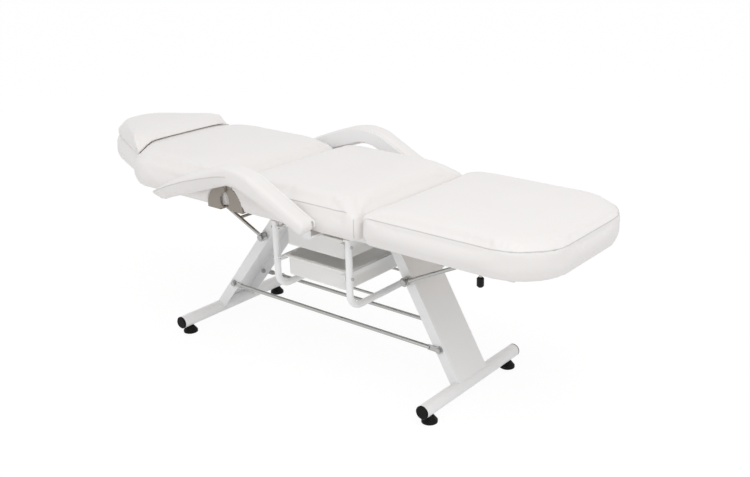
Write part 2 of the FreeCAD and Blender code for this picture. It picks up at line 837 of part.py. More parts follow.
def rack_shape(origin_x, toward, first, last, seat_at):
    """Toothed plate hung between two cross rails; the teeth hold the stay's bar."""
    tip_z = stay_bar_z + stay_d / 2 + rest_fit
    seat_z = tip_z + rack_tooth_depth
    low_z = tip_z - cut_past
    wall = stay_d / 2 + rack_seat_room
    half = rack_plate / 2
    top_z = frame_top_z - rack_top_gap
    plate = box(origin_x + toward * first, origin_x + toward * last, -half, half, tip_z, top_z)
    steep = seat_at + wall - rack_tooth_pitch * math.floor((seat_at + wall - first) / rack_tooth_pitch)
    while steep <= last:
        ramp = max(steep - rack_tooth_pitch + rack_tooth_land, first - cut_past)
        seat = steep - 2 * wall
        corners = [(steep, low_z), (steep, seat_z), (seat, seat_z), (ramp, tip_z), (ramp, low_z)]
        points = [(origin_x + toward * offset, z) for offset, z in corners]
        notch = [[start, end] for start, end in zip(points, points[1:] + points[:1])]
        plate = plate.cut(slab_xz(notch, -rack_plate, rack_plate))
        steep += rack_tooth_pitch
    return plate


def build_racks():
    """A pair of racks under the backrest and a pair under the leg-rest."""
    back_seat = hinge_x - stay_tip("head")[0]
    leg_seat = stay_tip("foot")[0] - seam_x
    back = rack_shape(hinge_x, -1, rack_first_back, rack_last_back, back_seat)
    leg = rack_shape(seam_x, 1, rack_first_leg, rack_last_leg, leg_seat)
    bore = lever_shaft_d + 2 * run_fit
    leg = leg.cut(rod_y(lever_x, rail_mid_z, bore, -rack_plate, rack_plate))
    for side, label in ((-1, "near"), (1, "far")):
        save(label + "_backrest_rack", back.translated(V(0, side * rack_y, 0)))
        save(label + "_legrest_rack", leg.translated(V(0, side * rack_y, 0)))


def build_release_lever():
    """Release shaft across the leg-rest racks, with a bent arm and a rubber grip at the near side."""
    arm_y = -rail_out_y - lever_arm_out
    knob_y = arm_y - lever_knob_out
    collar_y = rack_y + rack_plate
    arm_low = rail_mid_z - lever_arm_length
    shaft = rod_y(lever_x, rail_mid_z, lever_shaft_d, knob_y, collar_y + lever_collar)
    collar = rod_y(lever_x, rail_mid_z, lever_shaft_d + lever_collar, collar_y, collar_y + lever_collar)
    knob = Part.makeSphere(lever_shaft_d / 2, V(lever_x, knob_y, rail_mid_z))
    arm = rod_z(lever_x, arm_y, lever_arm_d, arm_low, rail_mid_z)
    save("release_shaft", fuse([shaft, arm, knob, collar]))
    low = arm_low - grip_end
    grip = rod_z(lever_x, arm_y, grip_d, low, low + grip_length)
    grip = grip.makeChamfer(grip_chamfer, [e for e in grip.Edges if len(e.Vertexes) == 1])
    bore = rod_z(lever_x, arm_y, lever_arm_d + hole_fit, arm_low - hole_fit, rail_mid_z)
    save("release_grip", grip.cut(bore))


# Armrests

def bowed(start, end, bow):
    """Three points of a shallow arc that bows upwards between two (x, z) points."""
    return [start, ((start[0] + end[0]) / 2, (start[1] + end[1]) / 2 + bow), end]


def rounded_tip(x, z, half, toward):
    """Three points round the end of a bar of the given half thickness, from its top to its underside."""
    high = half * math.sqrt(1 - arm_tip_lean ** 2)
    back = x + toward * arm_tip_lean * half
    return [(back, z + high), (x + toward * half, z), (back, z - high)]


def arm_outline(inset, y):
    """Side outline of an armrest: a bar bent over the hinge, with a slim rear tip and a rounded nose."""
    keep = 1 - 2 * inset / arm_depth
    rear_x = arm_front_x - arm_length + arm_tip / 2
    nose = rounded_tip(arm_front_x - arm_nose / 2, arm_front_z, keep * arm_nose / 2, 1)
    tip = rounded_tip(rear_x, arm_front_z - arm_rear_drop, keep * arm_tip / 2, -1)
    apex = arm_front_x - arm_apex_from_front
    top = arm_front_z + arm_rise - inset
    low = arm_front_z + arm_rise - arm_depth + inset
    top_bend = [(apex - arm_bend, top - arm_bend_drop), (apex, top), (apex + arm_bend, top - arm_bend_drop)]
    low_half = arm_bend / 2
    low_drop = arm_bend_drop / 2
    low_bend = [(apex + low_half, low - low_drop), (apex, low), (apex - low_half, low - low_drop)]
    outline = [bowed(tip[0], top_bend[0], arm_bow), top_bend, [top_bend[2], nose[0]], nose]
    outline += [[nose[2], low_bend[0]], low_bend, [low_bend[2], tip[2]], tip[::-1]]
    return Part.Wire([edge_through([V(x, y, z) for x, z in points]) for points in outline])


def arm_pad():
    """Padded armrest on the far side, rounded along its edges, with room for the lug at its front end."""
    r = arm_edge_round
    sections = [(0.5 * r, arm_pad_y), (0, arm_pad_y + 0.6 * r)]
    for angle in (0, 40, 80):
        turn = math.radians(angle)
        sections.append((r * (1 - math.cos(turn)), arm_out_y - r * (1 - math.sin(turn))))
    pad = Part.makeLoft([arm_outline(inset, y) for inset, y in sections], True, True)
    room_x = arm_pivot_x - arm_lug_width / 2 - arm_gap
    room_z = arm_pivot_z + arm_lug_width / 2 + arm_gap
    room_y = arm_pad_y + arm_lug + 2 * arm_gap
    return pad.cut(box(room_x, arm_front_x + arm_nose, arm_in_y, room_y, frame_bottom_z, room_z))


def arm_strap_plate():
    """Steel strap along the inner side of the armrest, with its pivot hole at the front."""
    strap = Part.Face(arm_outline(arm_strap_inset, arm_in_y)).extrude(V(0, arm_strap, 0))
    outer = arm_in_y + arm_strap
    boss = rod_y(arm_pivot_x, arm_pivot_z, arm_boss_d, arm_in_y, outer)
    hole = arm_pin_d + 2 * run_fit
    bore = rod_y(arm_pivot_x, arm_pivot_z, hole, arm_in_y - cut_past, outer + cut_past)
    return fuse([strap, boss]).cut(bore)


def arm_bracket():
    """Lug that rises from the seat rail beside the armrest strap."""
    lug_out = arm_pad_y + arm_lug
    half = arm_lug_width / 2
    low = frame_bottom_z + arm_lug_low
    upright = box(arm_pivot_x - half, arm_pivot_x + half, arm_pad_y, lug_out, low, arm_pivot_z)
    eye = rod_y(arm_pivot_x, arm_pivot_z, arm_lug_width, arm_pad_y, lug_out)
    tab = box(arm_pivot_x - half, arm_pivot_x + half, rail_out_y, lug_out, low, low + arm_lug_foot)
    hole = arm_pin_d + 2 * hole_fit
    bore = rod_y(arm_pivot_x, arm_pivot_z, hole, arm_pad_y - cut_past, lug_out + cut_past)
    return fuse([upright, eye, tab]).cut(bore)


def arm_pin():
    """Pivot pin through strap and lug, riveted outside the lug."""
    inner = arm_in_y + weld_gap
    outer = arm_pad_y + arm_lug + weld_gap
    pin = rod_y(arm_pivot_x, arm_pivot_z, arm_pin_d, inner, outer)
    head = rod_y(arm_pivot_x, arm_pivot_z, head_across * arm_pin_d, outer, outer + arm_pin_head)
    return fuse([pin, head])


def build_armrests():
    """Both armrests with strap, lug and pin; the near one mirrors the far one."""
    pieces = {"pad": arm_pad(), "strap": arm_strap_plate(), "bracket": arm_bracket(), "pin": arm_pin()}
    for label, piece in pieces.items():
        save("far_armrest_" + label, piece)
        save("near_armrest_" + label, mirror_y(piece))


# Tray rack and trays

def rack_tube(x, d):
    """Bent tube that drops from one seat rail, crosses under the trays and rises to the other rail."""
    r = rack_tube_bend
    turn = r * (1 - math.sqrt(0.5))
    y = post_y
    low = rack_tube_z
    path = [
        Part.LineSegment(V(x, -y, frame_bottom_z), V(x, -y, low + r)).toShape(),
        Part.Arc(V(x, -y, low + r), V(x, -y + turn, low + turn), V(x, -y + r, low)).toShape(),
        Part.LineSegment(V(x, -y + r, low), V(x, y - r, low)).toShape(),
        Part.Arc(V(x, y - r, low), V(x, y - turn, low + turn), V(x, y, low + r)).toShape(),
        Part.LineSegment(V(x, y, low + r), V(x, y, frame_bottom_z)).toShape(),
    ]
    circle = Part.Wire(Part.Circle(V(x, -y, frame_bottom_z), V(0, 0, 1), d / 2).toShape())
    return Part.Wire(path).makePipeShell([circle], True, False)


def runner_places():
    """Height of each pair of runners by tray name."""
    return {"upper": upper_rim_z - tray_wall - rest_fit, "lower": lower_rim_z - tray_wall - rest_fit}


def screw_places():
    """Y and Z of the runner screws in the posts."""
    drop = runner_height / 2
    return [(side * post_y, z - drop) for z in runner_places().values() for side in (-1, 1)]


def build_tray_rack():
    """Two bent tubes, the rods between them, the runners and their screws."""
    screws = []
    for label, x, toward in (("head", rack_head_x, 1), ("foot", rack_foot_x, -1)):
        tube = rack_tube(x, rack_tube_d).cut(rack_tube(x, rack_tube_d - 2 * rack_tube_wall))
        for y, z in screw_places():
            tube = tube.cut(rod_x(y, z, runner_screw_d + 2 * hole_fit, x - rack_tube_d, x + rack_tube_d))
            screws.append(runner_screw(x, toward, y, z))
        save("tray_rack_%s_tube" % label, tube)
        for tray, z in runner_places().items():
            save("%s_%s_runner" % (tray, label), runner(x, toward, z))
    rods = []
    for side in (-1, 1):
        rod = rod_x(side * cross_rod_y, rack_tube_z, cross_rod_d, rack_head_x, rack_foot_x)
        for x in (rack_head_x, rack_foot_x):
            rod = rod.cut(rod_y(x, rack_tube_z, rack_tube_d + 2 * weld_gap, -post_y, post_y))
        rods.append(rod)
    save("rack_cross_rods", *rods)
    save("runner_screws", *screws)


def runner(x, toward, z):
    """Angle strip along the posts; the tray's lip slides on its ledge."""
    face = x + toward * (rack_tube_d / 2 + hole_fit)
    half = post_y + rack_tube_d / 2
    web = box(face, face + toward * runner_sheet, -half, half, z - runner_height, z)
    ledge = box(face, face + toward * runner_ledge, -half, half, z - runner_sheet, z)
    strip = fuse([web, ledge])
    for side in (-1, 1):
        bore = runner_screw_d + 2 * hole_fit
        end = face + toward * (runner_sheet + cut_past)
        strip = strip.cut(rod_x(side * post_y, z - runner_height / 2, bore, face - toward * cut_past, end))
    return strip


def runner_screw(x, toward, y, z):
    """Small screw from outside the post into the runner."""
    d = runner_screw_d
    outside = x - toward * (rack_tube_d / 2 + hole_fit)
    inside = x + toward * (rack_tube_d / 2 + hole_fit + runner_sheet + cut_past)
    head = hex_prism(V(outside, y, z), V(-toward, 0, 0), head_across * d, head_height * d)
    return fuse([head, rod_x(y, z, d, outside, inside)])


def tray(rim_z):
    """Open bin with rounded corners and a lip all round that rides on the runners."""
    side = rack_tube_d / 2 + tray_side_gap
    low = rim_z - tray_depth

    def block(inset, radius, z0, z1):
        ends = (rack_head_x + side + inset, rack_foot_x - side - inset)
        return rounded_block(ends[0], ends[1], tray_length / 2 - inset, radius, z0, z1)

    lip = block(0, tray_corner, rim_z - tray_wall, rim_z)
    body = block(tray_lip, tray_corner, low, rim_z)
    hollow = block(tray_lip + tray_wall, tray_corner - tray_wall, low + tray_wall, rim_z + cut_past)
    return fuse([lip, body]).cut(hollow)


def rounded_block(x0, x1, half, radius, z0, z1):
    """Upright block with rounded corners."""
    outline = [[V(x, y, z0) for x, y in points] for points in rounded_plan(x0, x1, half, radius, radius)]
    edges = [edge_through(points) for points in outline]
    return Part.Face(Part.Wire(edges)).extrude(V(0, 0, z1 - z0))


def main():
    """Build every node."""
    os.makedirs("parts", exist_ok=True)
    build_cushions()
    build_seat_frame()
    build_back_frame()
    build_legrest_frame()
    build_side_hinges()
    for end in ("head", "foot"):
        build_leg(end)
        build_floor_tube(end)
    build_leg_bolts()
    build_end_caps()
    build_tie_rods()
    build_stay("head", "backrest_stay", stay_cross_at)
    build_stay("foot", "legrest_stay", 0.0)
    build_stay_pins("head", "backrest_stay_pins")
    build_stay_pins("foot", "legrest_stay_pins")
    build_racks()
    build_release_lever()
    build_armrests()
    build_tray_rack()
    save("upper_tray", tray(upper_rim_z))
    save("lower_tray", tray(lower_rim_z))


main()
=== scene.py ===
"""Finish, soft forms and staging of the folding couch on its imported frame."""

import json
import logging
import math
from dataclasses import dataclass, field
from enum import Enum

import bpy
import bmesh
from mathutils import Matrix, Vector
from mathutils.bvhtree import BVHTree


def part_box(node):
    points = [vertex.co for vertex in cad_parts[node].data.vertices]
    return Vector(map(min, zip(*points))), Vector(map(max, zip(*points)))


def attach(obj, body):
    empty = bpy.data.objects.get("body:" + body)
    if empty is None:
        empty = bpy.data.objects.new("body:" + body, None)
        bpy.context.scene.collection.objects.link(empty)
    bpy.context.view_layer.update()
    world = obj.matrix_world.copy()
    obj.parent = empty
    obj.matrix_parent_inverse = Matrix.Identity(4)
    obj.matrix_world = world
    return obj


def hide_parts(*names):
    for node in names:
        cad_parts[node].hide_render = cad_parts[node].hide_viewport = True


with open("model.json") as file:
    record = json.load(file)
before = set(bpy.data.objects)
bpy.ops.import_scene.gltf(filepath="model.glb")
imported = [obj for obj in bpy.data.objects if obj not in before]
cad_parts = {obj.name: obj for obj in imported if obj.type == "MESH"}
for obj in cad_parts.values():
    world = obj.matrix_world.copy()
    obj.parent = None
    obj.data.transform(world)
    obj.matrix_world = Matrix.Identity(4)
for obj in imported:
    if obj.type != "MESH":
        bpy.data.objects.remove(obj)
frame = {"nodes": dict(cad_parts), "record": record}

LOG = logging.getLogger("couch")
FRAME_TOP = 0.474
EDGE_Z = 0.553
HINGE_X = -0.142
ARCH_RADIUS = 0.0675
ARCH_SPARE = 0.002
RECESS_Y = 0.2365
END_FADE = 0.13
SMOOTH_ANGLE = 32.0


class Slot(Enum):
    """Material slots of the record."""

    VINYL = "white_vinyl"
    COAT = "white_powder_coat"
    CHROME = "chrome"
    ZINC = "zinc_steel"
    RUBBER = "black_rubber"
    PLASTIC = "black_plastic"
    PLY = "plywood"
    IVORY = "ivory_plastic"
    TAUPE = "taupe_steel"


@dataclass(frozen=True)
class Finish:
    """Look of one material slot."""

    slot: Slot
    color: tuple[float, float, float]
    roughness: float
    metallic: float = 0.0
    grain_scale: float = 300.0
    grain_depth: float = 0.0
    pebble: float = 0.0
    mottle: float = 0.0
    specular: float = 0.5
    coat: float = 0.0
    stretch: float = 1.0
    subsurface: float = 0.0


FINISHES: tuple[Finish, ...] = (
    Finish(Slot.VINYL, (0.885, 0.86, 0.845), 0.46, grain_scale=520.0, grain_depth=0.22, pebble=1.0,
           mottle=0.05, specular=0.42),
    Finish(Slot.COAT, (0.92, 0.92, 0.925), 0.36, grain_scale=900.0, grain_depth=0.06, mottle=0.03, coat=0.15),
    Finish(Slot.CHROME, (0.46, 0.46, 0.45), 0.12, metallic=1.0, grain_scale=500.0, grain_depth=0.02,
           mottle=0.06),
    Finish(Slot.ZINC, (0.50, 0.50, 0.50), 0.36, metallic=0.8, grain_scale=400.0, grain_depth=0.05,
           mottle=0.08),
    Finish(Slot.TAUPE, (0.34, 0.305, 0.265), 0.45, metallic=0.25, grain_scale=500.0, grain_depth=0.06,
           mottle=0.12),
    Finish(Slot.RUBBER, (0.005, 0.005, 0.005), 0.62, grain_scale=600.0, grain_depth=0.08, mottle=0.05,
           specular=0.16),
    Finish(Slot.PLASTIC, (0.006, 0.006, 0.006), 0.40, grain_scale=600.0, grain_depth=0.05, mottle=0.03,
           specular=0.20),
    Finish(Slot.PLY, (0.52, 0.38, 0.24), 0.70, grain_scale=60.0, grain_depth=0.10, mottle=0.30, specular=0.3,
           stretch=9.0),
    Finish(Slot.IVORY, (0.965, 0.955, 0.93), 0.42, grain_scale=500.0, grain_depth=0.03, mottle=0.03,
           specular=0.45, subsurface=0.35),
)
# Seam cords are vinyl coloured grey: the grey is painted shade standing in for the shadow along the piping's
# groove.
SEAM_SHADE = Finish(Slot.VINYL, (0.68, 0.67, 0.66), 0.55, grain_scale=900.0, grain_depth=0.15, mottle=0.05)
# Hinge bolts are zinc but get the plates' dark taupe: painted shade of the recess they sit in.
SHADED_BOLT = Finish(Slot.ZINC, (0.34, 0.305, 0.265), 0.5, metallic=0.3, grain_depth=0.05, mottle=0.1)


class MaterialLibrary:
    """Builds one procedural material per slot from a shared grain group."""

    def __init__(self) -> None:
        """Make the shared group and every material."""
        self.group = self._grain_group()
        self.by_slot: dict[Slot, bpy.types.Material] = {
            finish.slot: self._material(finish, finish.slot.value) for finish in FINISHES}
        # The seam material's grey is painted shade, not the piping's own colour.
        self.seam = self._material(SEAM_SHADE, "seam")
        # The hinge-bolt material is painted shade, darker and browner than zinc.
        self.hinge_bolt = self._material(SHADED_BOLT, "hinge_bolt")

    def _grain_group(self) -> bpy.types.NodeTree:
        """Shared surface group: fine grain for the bump and a slow mottle for colour and roughness.

        Returns:
            The node group.
        """
        tree = bpy.data.node_groups.new("SurfaceGrain", "ShaderNodeTree")
        face = tree.interface
        face.new_socket("Color", in_out="INPUT", socket_type="NodeSocketColor")
        for name in ("Roughness", "Scale", "Depth", "Pebble", "Mottle", "Stretch"):
            face.new_socket(name, in_out="INPUT", socket_type="NodeSocketFloat")
        face.new_socket("Color", in_out="OUTPUT", socket_type="NodeSocketColor")
        face.new_socket("Roughness", in_out="OUTPUT", socket_type="NodeSocketFloat")
        face.new_socket("Normal", in_out="OUTPUT", socket_type="NodeSocketVector")
        nodes, links = tree.nodes, tree.links
        enter = nodes.new("NodeGroupInput")
        leave = nodes.new("NodeGroupOutput")
        coords = nodes.new("ShaderNodeTexCoord")
        squeeze = nodes.new("ShaderNodeCombineXYZ")
        squeeze.inputs["X"].default_value = 1.0
        squeeze.inputs["Z"].default_value = 1.0
        links.new(enter.outputs["Stretch"], squeeze.inputs["Y"])
        place = nodes.new("ShaderNodeVectorMath")
        place.operation = "MULTIPLY"
        links.new(coords.outputs["Object"], place.inputs[0])
        links.new(squeeze.outputs["Vector"], place.inputs[1])
        fine = nodes.new("ShaderNodeTexNoise")
        fine.inputs["Detail"].default_value = 3.0
        links.new(place.outputs["Vector"], fine.inputs["Vector"])
        links.new(enter.outputs["Scale"], fine.inputs["Scale"])
        slow = nodes.new("ShaderNodeTexNoise")
        slow.inputs["Scale"].default_value = 4.0
        links.new(place.outputs["Vector"], slow.inputs["Vector"])
        cells = nodes.new("ShaderNodeTexVoronoi")
        cells.feature = "SMOOTH_F1"
        links.new(place.outputs["Vector"], cells.inputs["Vector"])
        links.new(enter.outputs["Scale"], cells.inputs["Scale"])
        height = nodes.new("ShaderNodeMix")
        links.new(enter.outputs["Pebble"], height.inputs["Factor"])
        links.new(fine.outputs["Fac"], height.inputs["A"])
        links.new(cells.outputs["Distance"], height.inputs["B"])
        bump = nodes.new("ShaderNodeBump")
        bump.inputs["Distance"].default_value = 0.0006
        links.new(enter.outputs["Depth"], bump.inputs["Strength"])
        links.new(height.outputs["Result"], bump.inputs["Height"])
        links.new(bump.outputs["Normal"], leave.inputs["Normal"])
        shade = nodes.new("ShaderNodeMapRange")
        shade.inputs["To Min"].default_value = 1.0
        links.new(slow.outputs["Fac"], shade.inputs["Value"])
        low = nodes.new("ShaderNodeMath")
        low.operation = "SUBTRACT"
        low.inputs[0].default_value = 1.0
        links.new(enter.outputs["Mottle"], low.inputs[1])
        links.new(low.outputs["Value"], shade.inputs["To Max"])
        tint = nodes.new("ShaderNodeVectorMath")
        tint.operation = "SCALE"
        links.new(enter.outputs["Color"], tint.inputs[0])
        links.new(shade.outputs["Result"], tint.inputs["Scale"])
        links.new(tint.outputs["Vector"], leave.inputs["Color"])
        rough = nodes.new("ShaderNodeMath")
        rough.operation = "MULTIPLY"
        links.new(enter.outputs["Roughness"], rough.inputs[0])
        links.new(shade.outputs["Result"], rough.inputs[1])
        links.new(rough.outputs["Value"], leave.inputs["Roughness"])
        return tree

    def _material(self, finish: Finish, name: str) -> bpy.types.Material:
        """Make one material.

        Args:
            finish: The look to build.
            name: End of the material's name.

        Returns:
            The material.
        """
        material = bpy.data.materials.new("couch_" + name)
        material.use_nodes = True
        nodes, links = material.node_tree.nodes, material.node_tree.links
        shader = nodes["Principled BSDF"]
        shader.inputs["Metallic"].default_value = finish.metallic
        shader.inputs["Specular IOR Level"].default_value = finish.specular
        shader.inputs["Coat Weight"].default_value = finish.coat
        shader.inputs["Subsurface Weight"].default_value = finish.subsurface
        shader.inputs["Subsurface Radius"].default_value = (1.0, 1.0, 1.0)
        shader.inputs["Subsurface Scale"].default_value = 0.02
        grain = nodes.new("ShaderNodeGroup")
        grain.node_tree = self.group
        grain.inputs["Color"].default_value = (*finish.color, 1.0)
        grain.inputs["Roughness"].default_value = finish.roughness
        grain.inputs["Scale"].default_value = finish.grain_scale
        grain.inputs["Depth"].default_value = finish.grain_depth
        grain.inputs["Pebble"].default_value = finish.pebble
        grain.inputs["Mottle"].default_value = finish.mottle
        grain.inputs["Stretch"].default_value = finish.stretch
        links.new(grain.outputs["Color"], shader.inputs["Base Color"])
        links.new(grain.outputs["Roughness"], shader.inputs["Roughness"])
        links.new(grain.outputs["Normal"], shader.inputs["Normal"])
        return material

    def dress(self, obj: bpy.types.Object, slot: Slot) -> None:
        """Give an object the one material of a slot.

        Args:
            obj: The mesh object.
            slot: Its slot.
        """
        obj.data.materials.clear()
        obj.data.materials.append(self.by_slot[slot])


def link(obj: bpy.types.Object) -> bpy.types.Object:
    """Put an object into the scene.

    Args:
        obj: The object.

    Returns:
        The same object.
    """
    bpy.context.scene.collection.objects.link(obj)
    return obj


def baked(obj: bpy.types.Object) -> None:
    """Replace an object's mesh by its evaluated mesh and drop the modifiers.

    Args:
        obj: The object.
    """
    graph = bpy.context.evaluated_depsgraph_get()
    mesh = bpy.data.meshes.new_from_object(obj.evaluated_get(graph))
    obj.modifiers.clear()
    obj.data = mesh


def smooth(obj: bpy.types.Object, angle: float = 180.0) -> None:
    """Shade an object smooth up to an edge angle in degrees.

    Args:
        obj: The mesh object.
        angle: Sharpest angle that is still smooth.
    """
    obj.data.polygons.foreach_set("use_smooth", [True] * len(obj.data.polygons))
    if angle < 180.0:
        obj.data.set_sharp_from_angle(angle=math.radians(angle))


class PipingGroup:
    """Geometry Nodes group that sweeps a round cord along a polyline."""

    def __init__(self) -> None:
        """Build the group once."""
        tree = bpy.data.node_groups.new("PipingCord", "GeometryNodeTree")
        face = tree.interface
        face.new_socket("Geometry", in_out="INPUT", socket_type="NodeSocketGeometry")
        radius = face.new_socket("Radius", in_out="INPUT", socket_type="NodeSocketFloat")
        material = face.new_socket("Material", in_out="INPUT", socket_type="NodeSocketMaterial")
        self.radius, self.material = radius.identifier, material.identifier
        face.new_socket("Geometry", in_out="OUTPUT", socket_type="NodeSocketGeometry")
        nodes, links = tree.nodes, tree.links
        enter = nodes.new("NodeGroupInput")
        leave = nodes.new("NodeGroupOutput")
        curve = nodes.new("GeometryNodeMeshToCurve")
        circle = nodes.new("GeometryNodeCurvePrimitiveCircle")
        circle.inputs["Resolution"].default_value = 8
        sweep = nodes.new("GeometryNodeCurveToMesh")
        sweep.inputs["Fill Caps"].default_value = True
        real = nodes.new("GeometryNodeRealizeInstances")
        paint = nodes.new("GeometryNodeSetMaterial")
        links.new(enter.outputs["Geometry"], curve.inputs["Mesh"])
        links.new(enter.outputs["Radius"], circle.inputs["Radius"])
        links.new(curve.outputs["Curve"], sweep.inputs["Curve"])
        links.new(circle.outputs["Curve"], sweep.inputs["Profile Curve"])
        links.new(sweep.outputs["Mesh"], real.inputs["Geometry"])
        links.new(real.outputs["Geometry"], paint.inputs["Geometry"])
        links.new(enter.outputs["Material"], paint.inputs["Material"])
        links.new(paint.outputs["Geometry"], leave.inputs["Geometry"])
        self.tree = tree

    def sweep(self, name: str, paths: list[list[Vector]], radius: float,
              material: bpy.types.Material) -> bpy.types.Object:
        """Make a plain mesh cord along paths.

        Args:
            name: Name of the new object.
            paths: Polylines in metres.
            radius: Cord radius in metres.
            material: Its material.

        Returns:
            The cord object.
        """
        mesh = bpy.data.meshes.new(name)
        points: list[Vector] = []
        edges: list[tuple[int, int]] = []
        for path in paths:
            start = len(points)
            points += path
            edges += [(start + i, start + i + 1) for i in range(len(path) - 1)]
        mesh.from_pydata(points, edges, [])
        obj = link(bpy.data.objects.new(name, mesh))
        modifier = obj.modifiers.new("cord", "NODES")
        modifier.node_group = self.tree
        modifier[self.radius] = radius
        modifier[self.material] = material
        baked(obj)
        smooth(obj)
        return obj


@dataclass
class SoftPiece:
    """One upholstered piece made from its solid: remeshed, blown up a little and eased."""

    node: str
    body: str
    voxel: float = 0.006
    pressure: float = 4.0
    cap: float = 0.006
    fill: float = 0.7
    easing: int = 5
    frames: int = 14
    pinned_below: float = FRAME_TOP + 0.012
    obj: bpy.types.Object = field(init=False)

    def build(self, library: MaterialLibrary) -> None:
        """Args:
            library: The materials.
        """
        source = frame["nodes"][self.node]
        mesh = source.data.copy()
        self.obj = link(bpy.data.objects.new(self.node + "_soft", mesh))
        remesh = self.obj.modifiers.new("remesh", "REMESH")
        remesh.mode = "VOXEL"
        remesh.voxel_size = self.voxel
        ease = self.obj.modifiers.new("ease", "SMOOTH")
        ease.factor = 0.5
        ease.iterations = self.easing
        baked(self.obj)
        self._inflate()
        library.dress(self.obj, Slot.VINYL)
        smooth(self.obj)
        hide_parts(self.node)
        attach(self.obj, self.body)

    def _inflate(self) -> None:
        """Blow the cover up with a short cloth run and cap how far it moves."""
        rest = [v.co.copy() for v in self.obj.data.vertices]
        pins = self.obj.vertex_groups.new(name="pins")
        pins.add([i for i, co in enumerate(rest) if co.z < self.pinned_below], 1.0, "REPLACE")
        modifier = self.obj.modifiers.new("cloth", "CLOTH")
        settings = modifier.settings
        settings.quality = 4
        settings.mass = 0.4
        settings.tension_stiffness = 25.0
        settings.compression_stiffness = 25.0
        settings.bending_stiffness = 2.0
        settings.use_pressure = True
        settings.uniform_pressure_force = self.pressure
        settings.vertex_group_mass = "pins"
        settings.effector_weights.gravity = 0.0
        modifier.collision_settings.use_collision = False
        modifier.point_cache.frame_start = 1
        modifier.point_cache.frame_end = self.frames
        scene = bpy.context.scene
        for step in range(1, self.frames + 1):
            scene.frame_set(step)
        baked(self.obj)
        scene.frame_set(1)
        for vertex, home in zip(self.obj.data.vertices, rest):
            move = vertex.co - home
            if move.length > self.cap:
                vertex.co = home + move.normalized() * self.cap

    def surface(self) -> BVHTree:
        """Surface tree of the finished piece.

        Returns:
            The tree.
        """
        mesh = bmesh.new()
        mesh.from_mesh(self.obj.data)
        tree = BVHTree.FromBMesh(mesh)
        mesh.free()
        return tree


def clear_arch(obj: bpy.types.Object) -> None:
    """Keep the cover out of the half-round recess of the side hinges.

    Args:
        obj: A finished cushion.
    """
    for vertex in obj.data.vertices:
        away = math.hypot(vertex.co.x - HINGE_X, vertex.co.z - FRAME_TOP)
        if away < ARCH_RADIUS + ARCH_SPARE and abs(vertex.co.y) > RECESS_Y:
            vertex.co.y = math.copysign(RECESS_Y, vertex.co.y)


def fuller(obj: bpy.types.Object, power: float, lift: float) -> None:
    """Fill a crowned top out toward its long edges, and leave its ends as they are.

    Args:
        obj: A finished cushion.
        power: How fast the top rises from its edge.
        lift: Added height of the crown in metres.
    """
    span = max(vertex.co.z for vertex in obj.data.vertices) - EDGE_Z
    places = [vertex.co.x for vertex in obj.data.vertices]
    low, high = min(places), max(places)
    for vertex in obj.data.vertices:
        inside = min(1.0, min(vertex.co.x - low, high - vertex.co.x) / END_FADE)
        full = filled(vertex.co.z, span, power, lift)
        vertex.co.z += (full - vertex.co.z) * inside * inside * (3.0 - 2.0 * inside)


def calm(obj: bpy.types.Object, steepest: float = 0.8, arch_reach: float = 0.12, arch_y: float = 0.2,
         above_arch: float = 0.003) -> None:
    """Even out small bumps of a cushion's top, and its top edge over the side hinges.

    Args:
        obj: A finished cushion.
        steepest: Least upward share of the normal that still counts as top.
        arch_reach: How far from the hinge, along the couch, its top edge is eased.
        arch_y: How far out from the middle that edge begins.
        above_arch: Height over the hinge recess at which it begins.
    """
    top = obj.vertex_groups.new(name="top")
    arch = obj.vertex_groups.new(name="arch")
    vertices = obj.data.vertices
    floor = FRAME_TOP + ARCH_RADIUS + above_arch
    top.add([v.index for v in vertices if v.normal.z > steepest], 1.0, "REPLACE")
    arch.add([v.index for v in vertices if v.co.z > floor and abs(v.co.x - HINGE_X) < arch_reach
              and abs(v.co.y) > arch_y], 1.0, "REPLACE")
    for name, turns in (("top", 12), ("arch", 15)):
        ease = obj.modifiers.new(name, "SMOOTH")
        ease.vertex_group = name
        ease.iterations = turns
        ease.use_x = ease.use_y = name == "arch"
    baked(obj)
    smooth(obj)


def plumb(tree: BVHTree, place: Vector, height: float) -> float:
    """Height of a surface above or below a place, looked for from a height.

    Args:
        tree: The surface.
        place: The place in plan.
        height: Height to start from; downward from one metre, upward from the floor.

    Returns:
        The height that is met, or zero.
    """
    toward = Vector((0.0, 0.0, -1.0 if height > 0.5 else 1.0))
    met, _, _, _ = tree.ray_cast(Vector((place.x, place.y, height)), toward)
    return met.z if met else 0.0


def filled(z: float, span: float, power: float, lift: float) -> float:
    """Height of a crown's point after filling out.

    Args:
        z: Height before.
        span: Height of the crown over its edge.
        power: How fast the top rises from its edge.
        lift: Added height of the crown.

    Returns:
        Height after.
    """
    share = (z - EDGE_Z) / span
    return z if share <= 0.0 else EDGE_Z + (span + lift) * (1.0 - (1.0 - min(share, 1.0)) ** power)


def arc_points(cx: float, cy: float, radius: float, start: float, end: float,
               count: int) -> list[tuple[float, float]]:
    """Points along an arc.

    Args:
        cx: Centre.
        cy: Centre.
        radius: Radius.
        start: First angle in degrees.
        end: Last angle in degrees.
        count: Number of points.

    Returns:
        The points.
    """
    angles = [math.radians(start + (end - start) * i / (count - 1)) for i in range(count)]
    return [(cx + radius * math.cos(a), cy + radius * math.sin(a)) for a in angles]


def dense(points: list[Vector], step: float) -> list[Vector]:
    """Points evenly spaced along a polyline.

    Args:
        points: The polyline.
        step: Spacing in metres.

    Returns:
        The new points.
    """
    out = [points[0]]
    for a, b in zip(points, points[1:]):
        pieces = max(1, round((b - a).length / step))
        out += [a.lerp(b, (i + 1) / pieces) for i in range(pieces)]
    return out


